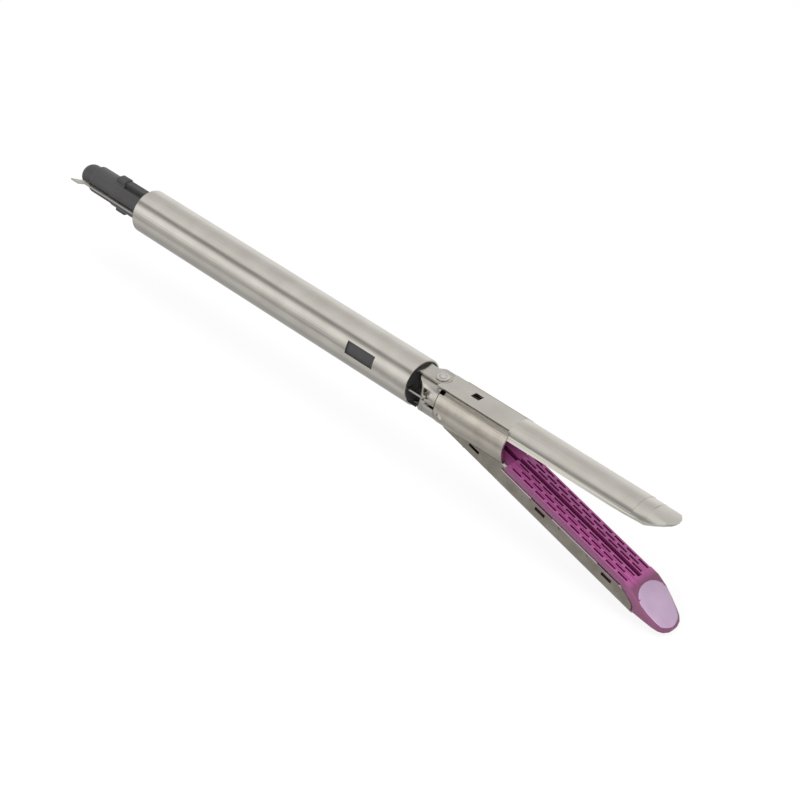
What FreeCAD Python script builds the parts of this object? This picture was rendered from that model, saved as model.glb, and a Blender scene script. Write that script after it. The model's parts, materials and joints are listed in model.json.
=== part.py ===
import FreeCAD
import Part
import math
import os

# Articulating loading unit of an endoscopic stapler, in millimetres.
# +X runs along the shaft towards the jaws, +Z towards the anvil side.
# The origin lies on the shaft axis at the proximal end face of the tube.
# The jaws are drawn open, as the unit rests, and the tool is straight.

# Shaft tube and its window
tube_radius = 6.0
tube_wall = 0.45
tube_length = 100.0
tube_edge_round = 0.15
window_back = 20.2
window_length = 9.1
window_arc = 32.0
window_tilt = 16.0

# Housing halves and the bayonet insertion tip
housing_gap = 0.05
housing_set_back = 0.2
shoulder_radius = 5.4
shoulder_width = 0.8
tip_length = 26.5
tip_radius = 3.95
plug_radius = 3.75
nose_length = 5.3
nose_radius = 3.1
nose_round = 2.6
nub_radius = 5.0
nub_start = -12.4
nub_length = 3.4
nub_width = 2.6
rib_height = 0.8
rib_width = 1.9
rib_groove = 0.9
rib_groove_depth = 0.7
lip_length = 2.5
lip_radius = 5.7
rod_bore_radius = 1.7
rod_bore_length = 20.0

# Articulation joint
pivot_reach = 6.0
articulation_limit = 45.0
coupling_width = 4.6
coupling_thick = 0.6
coupling_tail = 7.2
coupling_head_length = 1.8
coupling_head_width = 6.0
mount_face = 3.95
mount_round = 5.0
mount_skin = 0.15
mount_ring_back = 2.4
mount_ring_front = 3.2
mount_slit = 0.8
spigot_length = 3.2
spigot_low = 1.3
spigot_high = 3.4
spigot_inner = 2.45
rivet_radius = 1.1
rivet_head_radius = 1.6
rivet_head_height = 0.7
rivet_dimple_radius = 0.7
rivet_dimple_depth = 0.3
rivet_depth = 1.2
rivet_chamfer = 0.2
mount_window_length = 2.4
mount_window_height = 2.0
mount_window_low = 1.2
mount_window_depth = 2.45
mount_window_round = 0.4
mount_window_behind = 1.3
mount_pin_radius = 0.6
mount_pin_ahead = 1.3
mount_pin_side = 3.9

# Articulation link, a flat strip in the split between the housing halves
link_offset = 3.9
link_thick = 0.5
link_width = 1.7
link_pin_radius = 0.7
link_pin_reach = 1.6
link_eye_wall = 0.4
link_hook_length = 4.2
link_hook_out = 1.25
link_hook_reach = 25.8
link_hook_bend = 0.45
link_hook_foot = 0.7
link_hook_overlap = 0.5

# Drive beam, its flexible strip and the blow-out plates beside it
beam_thick = 1.0
beam_height = 4.8
beam_start = -4.0
beam_end_gap = 5.8
coupler_radius = 1.9
coupler_length = 9.0
coupler_neck_radius = 1.2
coupler_neck_length = 2.5
coupler_head_length = 2.0
strip_thick = 0.7
strip_height = 5.2
blowout_thick = 0.25
blowout_height = 5.0
blowout_length = 19.6
blowout_reach = 5.6
blowout_room = 0.5

# Lockout lever in the upper housing half
lever_set_back = 30.0
lever_pivot_height = 3.55
lever_back = 6.0
lever_front = 8.0
lever_width = 1.2
lever_height = 0.7
lever_boss = 0.85
lever_pin_radius = 0.5
lever_nose = 0.9
lever_nose_length = 1.0
lever_spring_thick = 0.2
lever_spring_half = 0.5
lever_spring_back = 2.0
lever_nose_half = 0.4
lever_nose_share = 0.6
lever_pin_half = 2.2
lever_room = 0.6
lever_headroom = 0.25

# Anvil, fixed to the mount and in line with the shaft
anvil_gap = 0.3
skirt_wall = 0.5
skirt_length = 21.3
skirt_top_angle = 50.0
skirt_low_angle = -41.0
tissue_face = 2.9
plate_top = 3.75
plate_radius = 5.75
plate_start_gap = 3.1
anvil_pocket_depth = 0.35
anvil_pocket_bridge = 0.1
anvil_plate_short = 0.8
anvil_tip_length = 6.0
anvil_tip_thick = 0.35
anvil_tip_lift = ((0.3, 0.0), (0.8, 0.2), (2.5, 0.85), (4.8, 1.55))
anvil_flat_heights = (5.6, 5.0)
anvil_plan = ((-12.0, 5.2), (-5.0, 4.8), (0.0, 4.4), (2.5, 3.95), (4.5, 3.0), (5.6, 1.8), (6.0, 0.6))
strip_cover_half_width = 3.45
strip_cover_low = 4.35
strip_cover_thick = 0.4
cover_radius = 5.9
cover_wall = 0.45
cover_low = 3.6
cover_lap = 0.6
cover_band_length = 3.4
cover_band_depth = 0.12
cover_hole_length = 2.5
cover_hole_width = 2.0
cover_hole_ahead = 5.7
cover_hole_side = 0.6
tongue_reach = 2.0
wall_corner_cut = 1.3
wall_corner_angle = 40.0
slot_over = 0.3

# Cartridge jaw, drawn closed and then swung open about its pins
jaw_pivot_ahead = 1.7
jaw_pivot_drop = 1.3
jaw_opening = 14.7
jaw_pin_radius = 0.9
jaw_pin_collar = 1.3
jaw_pin_set_back = 0.1
ear_throat = 0.4
ear_radius = 1.5
ear_slope_low = 2.6
ear_slope_high = 2.0
tail_half_width = 3.9
channel_wall = 0.6
tail_top = 1.0
shoulder_gap = 0.4
channel_radius = 6.0
channel_half_width = 5.35
channel_rim = 0.5
channel_length = 43.5
channel_end_slope = 4.6
channel_end_drop = 3.0
channel_end_curve = ((0.5, 0.3), (0.86, 0.54), (0.98, 0.76), (1.0, 1.0))
floor_groove_width = 4.7
floor_low = 5.1
floor_thick = 0.5
side_window_length = 3.1
side_window_height = 0.9
side_window_middle = -0.8
side_window_places = (12.0, 33.4)
side_dimple_radius = 0.3
side_dimple_depth = 0.12
side_dimple_places = (10.0, 19.5, 28.5)
tail_window_length = 3.3
tail_window_height = 0.8
tail_window_place = 9.2
tail_window_middle = -2.5
rim_notch_depth = 0.18
rim_notch_length = 7.0
jaw_spring_thick = 0.2
jaw_spring_length = 6.4
jaw_spring_foot = 0.8
jaw_spring_seat = 1.6

# Staple cartridge
deck_height = 1.8
deck_steps = (0.12, 0.24)
deck_step_edges = (1.85, 3.08)
deck_margin = ((4.35, 1.56), (4.5, 1.4), (5.05, 0.65))
cartridge_gap = 0.08
cartridge_tail = 10.0
groove_roof = 0.4
sled_room_half_width = 3.4
sled_room_top = 4.0
row_offsets = (1.25, 2.45, 3.7)
nose_flat_start = 1.1
nose_flat_slope = 0.38
slot_pitch = 3.8
slot_length = 2.9
slot_width = 0.55
slot_count = 10
first_slot_gap = 3.3

# Staples, pushers and the sled that lifts them
staple_wire = 0.22
staple_crown = 2.6
staple_leg = 1.6
pusher_gap = 0.08
pusher_low = 3.4
pusher_base = 0.7
pusher_high = 0.9
sled_length = 6.5
sled_lead = 2.0
sled_floor = 0.4
sled_toe = 0.3
sled_ramp_share = 0.7
sled_lift = 2.2

# Nose sections ahead of the flat's start: distance, half width, half width of
# the flat, then the heights of the side's top, of its middle and of the bottom
nose_sections = (
    (0.63, 5.25, 4.35, 0.55, -1.2, -5.9),
    (3.6, 5.15, 4.75, -0.3, -1.35, -5.7),
    (6.4, 4.85, 4.3, -1.4, -1.7, -5.35),
    (8.6, 4.4, 3.5, -2.1, -2.2, -4.95),
    (10.1, 3.9, 2.7, -2.5, -2.6, -4.5),
    (11.1, 3.0, 1.5, -2.8, -2.9, -4.1),
    (11.7, 1.6, 0.5, -2.95, -3.1, -3.7),
)

# Knife slot, drive head and its clamping stroke
knife_slot = 1.3
knife_slot_end_gap = 3.9
web_thick = 0.9
web_length = 3.6
flange_length = 2.6
flange_thick = 0.4
upper_flange_half_width = 1.9
upper_flange_headroom = 0.3
lower_flange_half_width = 2.2
flange_gap = 0.07
head_front_ahead = 7.2
clamp_stroke = 6.0
cam_gap = 0.08
cam_steps = 6
knife_thick = 0.4
knife_reach = 1.8
knife_low = -0.5
knife_high = 3.0
knife_chamfer = 0.5

# Running and sliding clearances
pin_gap = 0.04
slide_gap = 0.1
swing_gap = 0.25
face_gap = 0.05
seat_gap = 0.02

# Places worked out from the driving dimensions
bore_radius = tube_radius - tube_wall
housing_radius = bore_radius - housing_gap
housing_end = tube_length - housing_set_back
window_start = tube_length - window_back
lever_pivot = tube_length - lever_set_back
pivot_x = tube_length + pivot_reach
ring_back = pivot_x + mount_ring_back
ring_front = pivot_x + mount_ring_front
mount_radius = tube_radius - mount_skin
anvil_start = ring_front + anvil_gap
skirt_end = anvil_start + skirt_length
jaw_x = anvil_start + jaw_pivot_ahead
jaw_z = -jaw_pivot_drop
channel_shoulder = skirt_end + shoulder_gap
channel_end = channel_shoulder + channel_length
knife_slot_end = channel_end - knife_slot_end_gap
cartridge_start = channel_shoulder - cartridge_tail
flat_start = knife_slot_end + nose_flat_start
nose_end = flat_start + nose_sections[-1][0]
anvil_plate_end = knife_slot_end - anvil_plate_short
anvil_tip_end = anvil_plate_end + anvil_tip_length
head_front = pivot_x + head_front_ahead
head_back = head_front - web_length
beam_end = housing_end - beam_end_gap
blowout_start = pivot_x + blowout_reach - blowout_length
coupling_low = mount_face + slide_gap
coupling_high = coupling_low + coupling_thick
lower_flange_top = floor_low + face_gap
upper_flange_low = plate_top + flange_gap
first_slot = channel_shoulder + first_slot_gap
sled_front = first_slot - slot_length / 2 - sled_lead
cavity_end = first_slot + (slot_count - 1) * slot_pitch + slot_length / 2 + slide_gap
sled_back = sled_front - sled_length


def box(x, y, z):
    """Box from three (low, high) pairs."""
    shape = Part.makeBox(x[1] - x[0], y[1] - y[0], z[1] - z[0])
    shape.translate(FreeCAD.Vector(x[0], y[0], z[0]))
    return shape


def rod_x(radius, x, y=0.0, z=0.0):
    return Part.makeCylinder(radius, x[1] - x[0], FreeCAD.Vector(x[0], y, z), FreeCAD.Vector(1, 0, 0))


def rod_y(radius, y, x, z):
    return Part.makeCylinder(radius, y[1] - y[0], FreeCAD.Vector(x, y[0], z), FreeCAD.Vector(0, 1, 0))


def rod_z(radius, z, x, y=0.0):
    return Part.makeCylinder(radius, z[1] - z[0], FreeCAD.Vector(x, y, z[0]), FreeCAD.Vector(0, 0, 1))


def side_profile(points, y):
    """Solid of a closed outline in the XZ plane, from y low to y high."""
    corners = [FreeCAD.Vector(px, y[0], pz) for px, pz in points]
    face = Part.Face(Part.makePolygon(corners + corners[:1]))
    return face.extrude(FreeCAD.Vector(0, y[1] - y[0], 0))


def plan_profile(points, z):
    """Solid of a closed outline in the XY plane, from z low to z high."""
    corners = [FreeCAD.Vector(px, py, z[0]) for px, py in points]
    face = Part.Face(Part.makePolygon(corners + corners[:1]))
    return face.extrude(FreeCAD.Vector(0, 0, z[1] - z[0]))


def cross_profile(points, x):
    """Solid of a closed outline in the YZ plane, from x low to x high."""
    corners = [FreeCAD.Vector(x[0], py, pz) for py, pz in points]
    face = Part.Face(Part.makePolygon(corners + corners[:1]))
    return face.extrude(FreeCAD.Vector(x[1] - x[0], 0, 0))


def arc_wall(outer, inner, x, low, high):
    """Part of a tube wall on the -Y side, between two angles above -Y."""
    start = FreeCAD.Vector(x[0], 0, 0)
    ring = rod_x(outer, x).cut(rod_x(inner, x))
    reach = 3 * outer
    mid = (low + high) / 2
    corners = [start]
    for angle in (low, mid, high):
        turn = math.radians(angle)
        corners.append(FreeCAD.Vector(x[0], -reach * math.cos(turn), reach * math.sin(turn)))
    wedge = Part.Face(Part.makePolygon(corners + corners[:1]))
    return ring.common(wedge.extrude(FreeCAD.Vector(x[1] - x[0], 0, 0)))


def mirrored(shape):
    """The same shape on the other side of the XZ plane."""
    return shape.mirror(FreeCAD.Vector(0, 0, 0), FreeCAD.Vector(0, 1, 0))


def both_sides(shape):
    return [shape, mirrored(shape)]


def upside_down(shape):
    return shape.mirror(FreeCAD.Vector(0, 0, 0), FreeCAD.Vector(0, 0, 1))


def fused(shapes):
    return shapes[0].multiFuse(shapes[1:]).removeSplitter()


def swung_open(shape):
    """Turns a piece of the cartridge jaw from closed to open."""
    shape = shape.copy()
    shape.rotate(FreeCAD.Vector(jaw_x, 0, jaw_z), FreeCAD.Vector(0, 1, 0), jaw_opening)
    return shape


def shaft_tube():
    tube = rod_x(tube_radius, (0, tube_length))
    end_edge = [edge for edge in tube.Edges if edge.BoundBox.XMin > tube_length - tube_edge_round]
    tube = tube.makeChamfer(tube_edge_round, end_edge)
    tube = tube.cut(rod_x(bore_radius, (-1, tube_length + 1)))
    low = window_tilt - window_arc / 2
    high = window_tilt + window_arc / 2
    span = (window_start, window_start + window_length)
    return tube.cut(arc_wall(tube_radius + 1, bore_radius - 1, span, low, high))


def insertion_tip():
    """Round nose, plug body, the two bayonet nubs and the rib to the shoulder."""
    nose_end_x = nose_length - tip_length
    nose = rod_x(nose_radius, (-tip_length, nose_end_x + 1))
    nose = nose.makeFillet(nose_round, [nose.Edges[2 if nose.Edges[2].Vertexes[0].X < nose_end_x else 0]])
    plug = rod_x(plug_radius, (nose_end_x, nub_start))
    body = rod_x(tip_radius, (nub_start, 0))
    nub = box((nub_start, nub_start + nub_length), (-nub_width / 2, nub_width / 2), (0, 2 * nub_radius))
    nub = nub.common(rod_x(nub_radius, (nub_start, nub_start + nub_length)))
    rib = box((nub_start, 0), (-rib_width / 2, rib_width / 2), (0, tip_radius + rib_height))
    grooves = []
    for side in (-1, 1):
        middle = side * (rib_width + rib_groove) / 2
        span = (middle - rib_groove / 2, middle + rib_groove / 2)
        depth = (tip_radius - rib_groove_depth, tip_radius + 1)
        grooves.append(box((nub_start + nub_length, -shoulder_width), span, depth))
    shoulder = rod_x(shoulder_radius, (-shoulder_width, 0))
    tip = fused([nose, plug, body, nub, upside_down(nub), rib, shoulder])
    return tip.cut(grooves)


def housing_cavities():
    """Room for the drive rod, the drive beam, the link and the coupling tails."""
    half_beam = beam_thick / 2 + slide_gap
    half_height = beam_height / 2 + slide_gap
    rod_bore = rod_x(rod_bore_radius, (-tip_length - 1, rod_bore_length - tip_length + 1))
    coupler_room = (rod_bore_length - tip_length, beam_start + coupler_length + clamp_stroke + 1)
    room = rod_x(coupler_radius + slide_gap, coupler_room)
    beam_room = box((beam_start, tube_length), (-half_beam, half_beam), (-half_height, half_height))
    plate_half = 2 * blowout_thick + strip_thick / 2 + slide_gap
    plates = box((blowout_start - blowout_room, tube_length), (-plate_half, plate_half),
                 (-blowout_height / 2 - slide_gap, blowout_height / 2 + slide_gap))
    strip = box((beam_end - 1, tube_length), (-plate_half, plate_half),
                (-strip_height / 2 - slide_gap, strip_height / 2 + slide_gap))
    link_low = -link_offset - link_width / 2 - slide_gap
    link_span = (link_low, link_low + link_width + 2 * slide_gap)
    link_half = link_thick / 2 + slide_gap
    link = box((-tip_length - 1, tube_length), link_span, (-link_half, link_half))
    tails = [coupling_plate(face_gap), upside_down(coupling_plate(face_gap))]
    return [rod_bore, room, beam_room, plates, strip, link] + tails


def housing():
    body = rod_x(housing_radius, (0, housing_end))
    return insertion_tip().fuse(body).cut(housing_cavities())


def housing_upper():
    upper = box((-2 * tip_length, tube_length), (-tube_radius, tube_radius), (0, tube_radius))
    half = housing().common(upper)
    pocket = box((lever_pivot - lever_back - lever_room, lever_pivot + lever_front + lever_room),
                 (-lever_width / 2 - slide_gap, lever_width / 2 + slide_gap),
                 (beam_height / 2, lever_pivot_height + lever_boss + lever_headroom))
    pin_hole = rod_y(lever_pin_radius, (-lever_pin_half, lever_pin_half), lever_pivot, lever_pivot_height)
    return half.cut([pocket, pin_hole])


def housing_lip():
    """Lower edge that reaches past the tube, hollowed to let the mount swing."""
    outer = rod_x(housing_radius, (housing_end - 2, tube_length + face_gap))
    rim = rod_x(lip_radius, (tube_length + face_gap, tube_length + 2 * lip_length))
    block = box((housing_end - 2, tube_length + lip_length), (-tube_radius, tube_radius),
                (-tube_radius, -coupling_high - face_gap))
    swing = rod_z(mount_round + swing_gap, (-tube_radius, 0), pivot_x)
    return outer.fuse(rim).common(block).cut(swing)


def housing_lower():
    lower = box((-2 * tip_length, tube_length), (-tube_radius, tube_radius), (-tube_radius, 0))
    return housing().common(lower).fuse(housing_lip()).removeSplitter()


def coupling_plate(gap=0.0):
    """Flat strap with a cross head in the housing and a round end on the rivet."""
    z = (coupling_low - gap, coupling_high + gap)
    half = coupling_width / 2 + gap
    start = tube_length - coupling_tail
    strap = box((start, pivot_x), (-half, half), z)
    head_half = coupling_head_width / 2 + gap
    head = box((start - gap, start + coupling_head_length + gap), (-head_half, head_half), z)
    plate = fused([strap, head, rod_z(half, z, pivot_x)])
    return plate.cut(rod_z(rivet_radius + pin_gap, z, pivot_x))


def pivot_rivet():
    """Headed rivet fixed in the mount; the strap turns on its shank."""
    shank = rod_z(rivet_radius, (mount_face - rivet_depth, coupling_high + face_gap), pivot_x)
    z = (coupling_high + face_gap, coupling_high + face_gap + rivet_head_height)
    head = rod_z(rivet_head_radius, z, pivot_x)
    rim = [edge for edge in head.Edges if edge.CenterOfMass.z > z[1] - 0.01]
    head = head.makeChamfer(rivet_chamfer, rim)
    dimple = rod_z(rivet_dimple_radius, (z[1] - rivet_dimple_depth, z[1] + 1), pivot_x)
    return shank.fuse(head).cut(dimple)


def mount_block():
    """Upper half of the swivel mount, with its ring and the spigot in the anvil."""
    low = mount_slit / 2
    swivel = rod_z(mount_round, (low, mount_face), pivot_x)
    bridge = box((pivot_x, ring_back), (-tube_radius, tube_radius), (low, mount_face))
    ring = rod_x(mount_radius, (ring_back, ring_front))
    ring = ring.common(box((ring_back, ring_front), (-tube_radius, tube_radius), (0, tube_radius)))
    ring = ring.cut(box((ring_back, ring_front), (-tube_radius, link_width - link_offset), (0, low)))
    block = fused([swivel, bridge.common(rod_x(mount_radius, (pivot_x, ring_back))), ring])
    top = strip_cover_low - face_gap
    block = block.common(box((tube_length, ring_front), (-tube_radius, tube_radius), (0, top)))
    return block.common(rod_x(mount_radius, (tube_length, ring_front)))


def mount_cuts():
    half = strip_thick / 2 + 2 * blowout_thick + slide_gap
    height = strip_height / 2 + slide_gap
    slot = box((tube_length, ring_front + 1), (-half, half), (-height, height))
    rivet = rod_z(rivet_radius, (mount_face - rivet_depth, mount_face + 1), pivot_x)
    link_pin = rod_z(link_pin_radius, (-link_pin_reach, link_pin_reach), pivot_x, -link_offset)
    tie = rod_z(mount_pin_radius, (-mount_face, mount_face), pivot_x + mount_pin_ahead, mount_pin_side)
    return [slot, rivet, upside_down(rivet), link_pin, tie]


def mount_upper():
    start = pivot_x - mount_window_behind
    x = (start, start + mount_window_length)
    z = (mount_window_low, mount_window_low + mount_window_height)
    side_window = box(x, (-tube_radius, mount_window_depth - mount_radius), z)
    corners = [edge for edge in side_window.Edges if edge.Vertexes[0].X == edge.Vertexes[1].X
               and edge.Vertexes[0].Z == edge.Vertexes[1].Z]
    side_window = side_window.makeFillet(mount_window_round, corners)
    cheek = box((ring_front - 0.5, ring_front + spigot_length), (spigot_inner, tube_radius),
                (spigot_low, spigot_high))
    inside = tube_radius - skirt_wall - seat_gap
    cheek = cheek.common(rod_x(inside, (ring_front - 0.5, ring_front + spigot_length)))
    block = fused([mount_block()] + both_sides(cheek))
    return block.cut(mount_cuts() + [side_window])


def mount_lower():
    return upside_down(mount_block().cut(mount_cuts()))


def link_pin():
    return rod_z(link_pin_radius, (-link_pin_reach, link_pin_reach), pivot_x, -link_offset)


def mount_pin():
    return rod_z(mount_pin_radius, (-mount_face, mount_face), pivot_x + mount_pin_ahead, mount_pin_side)


def articulation_link():
    """Flat strip with an outward hook at the tip and a slotted eye at the mount."""
    z = (-link_thick / 2, link_thick / 2)
    low = -link_offset - link_width / 2
    high = low + link_width
    swing = link_offset * (1 - math.cos(math.radians(articulation_limit)))
    room = link_pin_radius + 3 * pin_gap
    half = room + link_eye_wall
    strip = box((-link_hook_reach + link_hook_length, pivot_x - half + 0.1), (low, high), z)
    hook_start = -link_hook_reach
    hook = plan_profile([(hook_start, low - link_hook_out),
                         (hook_start + link_hook_foot * link_hook_length, low - link_hook_out),
                         (hook_start + link_hook_length, low),
                         (hook_start + link_hook_length + link_hook_overlap, high),
                         (hook_start + link_hook_length - link_hook_overlap, high),
                         (hook_start + link_hook_bend * link_hook_length, low)], z)
    eye = box((pivot_x - half, pivot_x + half), (-link_offset, -link_offset + swing), z)
    slot = box((pivot_x - room, pivot_x + room), (-link_offset, -link_offset + swing), z)
    for y in (-link_offset, -link_offset + swing):
        eye = eye.fuse(rod_z(half, z, pivot_x, y))
        slot = slot.fuse(rod_z(room, z, pivot_x, y))
    return fused([strip, hook, eye]).cut(slot)


def drive_beam():
    """Laminated beam with a grooved round coupler for the drive rod."""
    half = beam_thick / 2
    height = beam_height / 2
    bar = box((beam_start + coupler_length - 1, beam_end), (-half, half), (-height, height))
    tip = lever_pivot + lever_front
    recess = box((tip - clamp_stroke - lever_nose_length - slide_gap, tip + clamp_stroke + 1),
                 (-half, half), (height - lever_nose, height))
    coupler = rod_x(coupler_radius, (beam_start, beam_start + coupler_length))
    neck_start = beam_start + coupler_head_length
    neck = (neck_start, neck_start + coupler_neck_length)
    groove = rod_x(coupler_radius + 1, neck).cut(rod_x(coupler_neck_radius, neck))
    return fused([bar.cut(recess), coupler.cut(groove)])


def drive_strip():
    """Thin strip that bends at the joint, between the beam and the head."""
    half = strip_thick / 2
    height = strip_height / 2
    return box((beam_end, head_back), (-half, half), (-height, height))


def blowout_plates():
    low = strip_thick / 2 + blowout_thick
    plate = box((blowout_start, pivot_x + blowout_reach), (low, low + blowout_thick),
                (-blowout_height / 2, blowout_height / 2))
    return Part.makeCompound(both_sides(plate))


def lockout_lever():
    """Lever over the beam; its nose drops into the recess in the beam's edge."""
    half = lever_width / 2
    y = (-half, half)
    z = (lever_pivot_height - lever_height / 2, lever_pivot_height + lever_height / 2)
    bar = box((lever_pivot - lever_back, lever_pivot + lever_front), y, z)
    boss = rod_y(lever_boss, y, lever_pivot, lever_pivot_height)
    tip = lever_pivot + lever_front
    nose = box((tip - lever_nose_length, tip), (-lever_nose_half, lever_nose_half),
               (beam_height / 2 - lever_nose_share * lever_nose, z[0]))
    lever = fused([bar, boss, nose])
    return lever.cut(rod_y(lever_pin_radius + pin_gap, y, lever_pivot, lever_pivot_height))


def lockout_pin():
    return rod_y(lever_pin_radius, (-lever_pin_half, lever_pin_half), lever_pivot, lever_pivot_height)


def lockout_spring():
    """Leaf spring under the roof of the pocket, pressing on the lever."""
    top = lever_pivot_height + lever_boss + lever_headroom
    touch = lever_pivot_height + lever_height / 2 + face_gap
    start = lever_pivot + lever_spring_back
    bend = start + lever_spring_back
    end = lever_pivot + lever_front
    foot = end - lever_nose_length
    t = lever_spring_thick
    outline = [(start, top), (start, top - t), (bend, top - t), (foot, touch),
               (end, touch), (end, touch + t), (foot, touch + t), (bend, top)]
    return side_profile(outline, (-lever_spring_half, lever_spring_half))


def staple_places():
    """Centre, offset and row of every staple on the +Y side; the middle row has one less."""
    places = []
    for row, offset in enumerate(row_offsets):
        shift = slot_pitch / 2 if row == 1 else 0.0
        for number in range(slot_count - row % 2):
            places.append((first_slot + shift + number * slot_pitch, offset, row))
    return places


def anvil_outline():
    """Plan of the anvil: straight, then tapered to the round end."""
    near = [(skirt_end - 2, -tube_radius), (anvil_plate_end + anvil_plan[0][0], -tube_radius)]
    near += [(anvil_plate_end + along, -half) for along, half in anvil_plan]
    far = [(x, -y) for x, y in reversed(near)]
    return plan_profile(near + far, (0, tube_radius))


def anvil_plate():
    """Tissue plate with its forming pockets and the slot for the knife."""
    start = anvil_start + plate_start_gap
    z = (tissue_face, plate_top)
    inside = rod_x(tube_radius - skirt_wall / 2, (start, skirt_end))
    inside = inside.common(box((start, skirt_end), (-tube_radius, tube_radius), z))
    x = (skirt_end - 1, anvil_plate_end)
    blade = rod_x(plate_radius, x).common(box(x, (-tube_radius, tube_radius), z))
    return inside.fuse(blade.common(anvil_outline()))


def anvil_tip():
    """Half-round end whose lower face lifts to meet the flat on its top."""
    start = anvil_plate_end
    low = [(start, tissue_face)] + [(start + along, tissue_face + lift) for along, lift in anvil_tip_lift]
    top = anvil_flat_heights
    outline = low + [(anvil_tip_end, top[1] - anvil_tip_thick), (anvil_tip_end, top[1]), (start, top[0])]
    form = side_profile(outline, (-tube_radius, tube_radius))
    return form.common(rod_x(plate_radius, (start, anvil_tip_end))).common(anvil_outline())


def anvil_body():
    skirt = arc_wall(tube_radius, tube_radius - skirt_wall, (anvil_start, skirt_end),
                     skirt_low_angle, skirt_top_angle)
    corner_x = (anvil_start - 1, anvil_start + wall_corner_cut)
    corner = arc_wall(tube_radius + 1, tube_radius - 2 * skirt_wall, corner_x,
                      wall_corner_angle, skirt_top_angle + 1)
    skirt = skirt.cut(corner)
    body = fused([anvil_plate(), anvil_tip()] + both_sides(skirt))
    cuts = [box((anvil_start, knife_slot_end + slot_over), (-knife_slot / 2, knife_slot / 2),
                (tissue_face - 1, plate_top + 1))]
    pin_hole = rod_y(jaw_pin_radius, (-tube_radius, tube_radius), jaw_x, jaw_z)
    for x, y, row in staple_places():
        for side in (-1, 1):
            for end in (-1, 1):
                middle = x + end * slot_length / 4
                length = slot_length / 4 - anvil_pocket_bridge
                cuts.append(box((middle - length, middle + length),
                                (side * y - slot_width / 2, side * y + slot_width / 2),
                                (tissue_face - 1, tissue_face + anvil_pocket_depth)))
    flange_room = box((anvil_plate_end - 1, knife_slot_end + slot_over),
                      (-upper_flange_half_width - slide_gap, upper_flange_half_width + slide_gap),
                      (plate_top, plate_top + flange_thick + upper_flange_headroom))
    return body.cut(cuts + [pin_hole, flange_room])


def anvil_cover():
    """Narrow tongue over the side walls, then a half-round lid over the plate."""
    cover_start = skirt_end - cover_lap
    end = anvil_plate_end
    x = (cover_start, end)
    lid = rod_x(cover_radius, x).cut(rod_x(cover_radius - cover_wall, x)).common(anvil_outline())
    lid = lid.common(box(x, (-tube_radius, tube_radius), (cover_low, tube_radius)))
    wall_room = arc_wall(tube_radius + 1, tube_radius - skirt_wall - seat_gap,
                         (cover_start - 1, skirt_end + seat_gap), skirt_low_angle, skirt_top_angle + 0.3)
    lid = lid.cut([anvil_ledge(x)] + both_sides(wall_room))
    bulkhead = rod_x(cover_radius, (cover_start, cover_start + cover_wall))
    bulkhead = bulkhead.common(box((cover_start, cover_start + cover_wall), (-tube_radius, tube_radius),
                                   (strip_cover_low, tube_radius)))
    band = (end - cover_band_length, end)
    recess = rod_x(cover_radius + 1, band).cut(rod_x(cover_radius - cover_band_depth, band))
    z = (strip_cover_low, strip_cover_low + strip_cover_thick)
    tongue = box((anvil_start - tongue_reach, cover_start + cover_wall),
                 (-strip_cover_half_width, strip_cover_half_width), z)
    tongue = tongue.cut(rod_z(coupling_width / 2 + swing_gap, z, pivot_x))
    hole_x = anvil_start + cover_hole_ahead
    hole = box((hole_x, hole_x + cover_hole_length),
               (cover_hole_side - cover_hole_width / 2, cover_hole_side + cover_hole_width / 2),
               (strip_cover_low - 1, tube_radius))
    return fused([lid.cut(recess), bulkhead, tongue]).cut(hole)


def anvil_ledge(x):
    """The plate's rounded edge, on which the lid sits."""
    edge = rod_x(plate_radius, x)
    return edge.common(box(x, (-tube_radius, tube_radius), (tissue_face, plate_top)))


def jaw_pivot_pins():
    """Two shouldered pins from the side walls into the ears of the channel."""
    inner = tail_half_width - channel_wall - jaw_pin_set_back
    outer = math.sqrt((tube_radius - jaw_pin_set_back) ** 2 - (jaw_pivot_drop + jaw_pin_radius) ** 2)
    wall = math.sqrt((tube_radius - skirt_wall) ** 2 - (jaw_pivot_drop + jaw_pin_collar) ** 2)
    pin = rod_y(jaw_pin_radius, (inner, outer), jaw_x, jaw_z)
    collar = rod_y(jaw_pin_collar, (tail_half_width + slide_gap, wall), jaw_x, jaw_z)
    return Part.makeCompound(both_sides(pin.fuse(collar)))


def cam_points():
    """Path of the lower flange's front edge, seen from the closing channel."""
    points = []
    for step in range(cam_steps + 1):
        travel = clamp_stroke * step / cam_steps
        turn = math.radians(jaw_opening * (1 - step / cam_steps))
        u = head_front + travel - jaw_x
        w = -lower_flange_top - jaw_z
        x = u * math.cos(turn) - w * math.sin(turn) + jaw_x
        z = u * math.sin(turn) + w * math.cos(turn) + jaw_z
        points.append((x, z + cam_gap))
    return points


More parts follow.
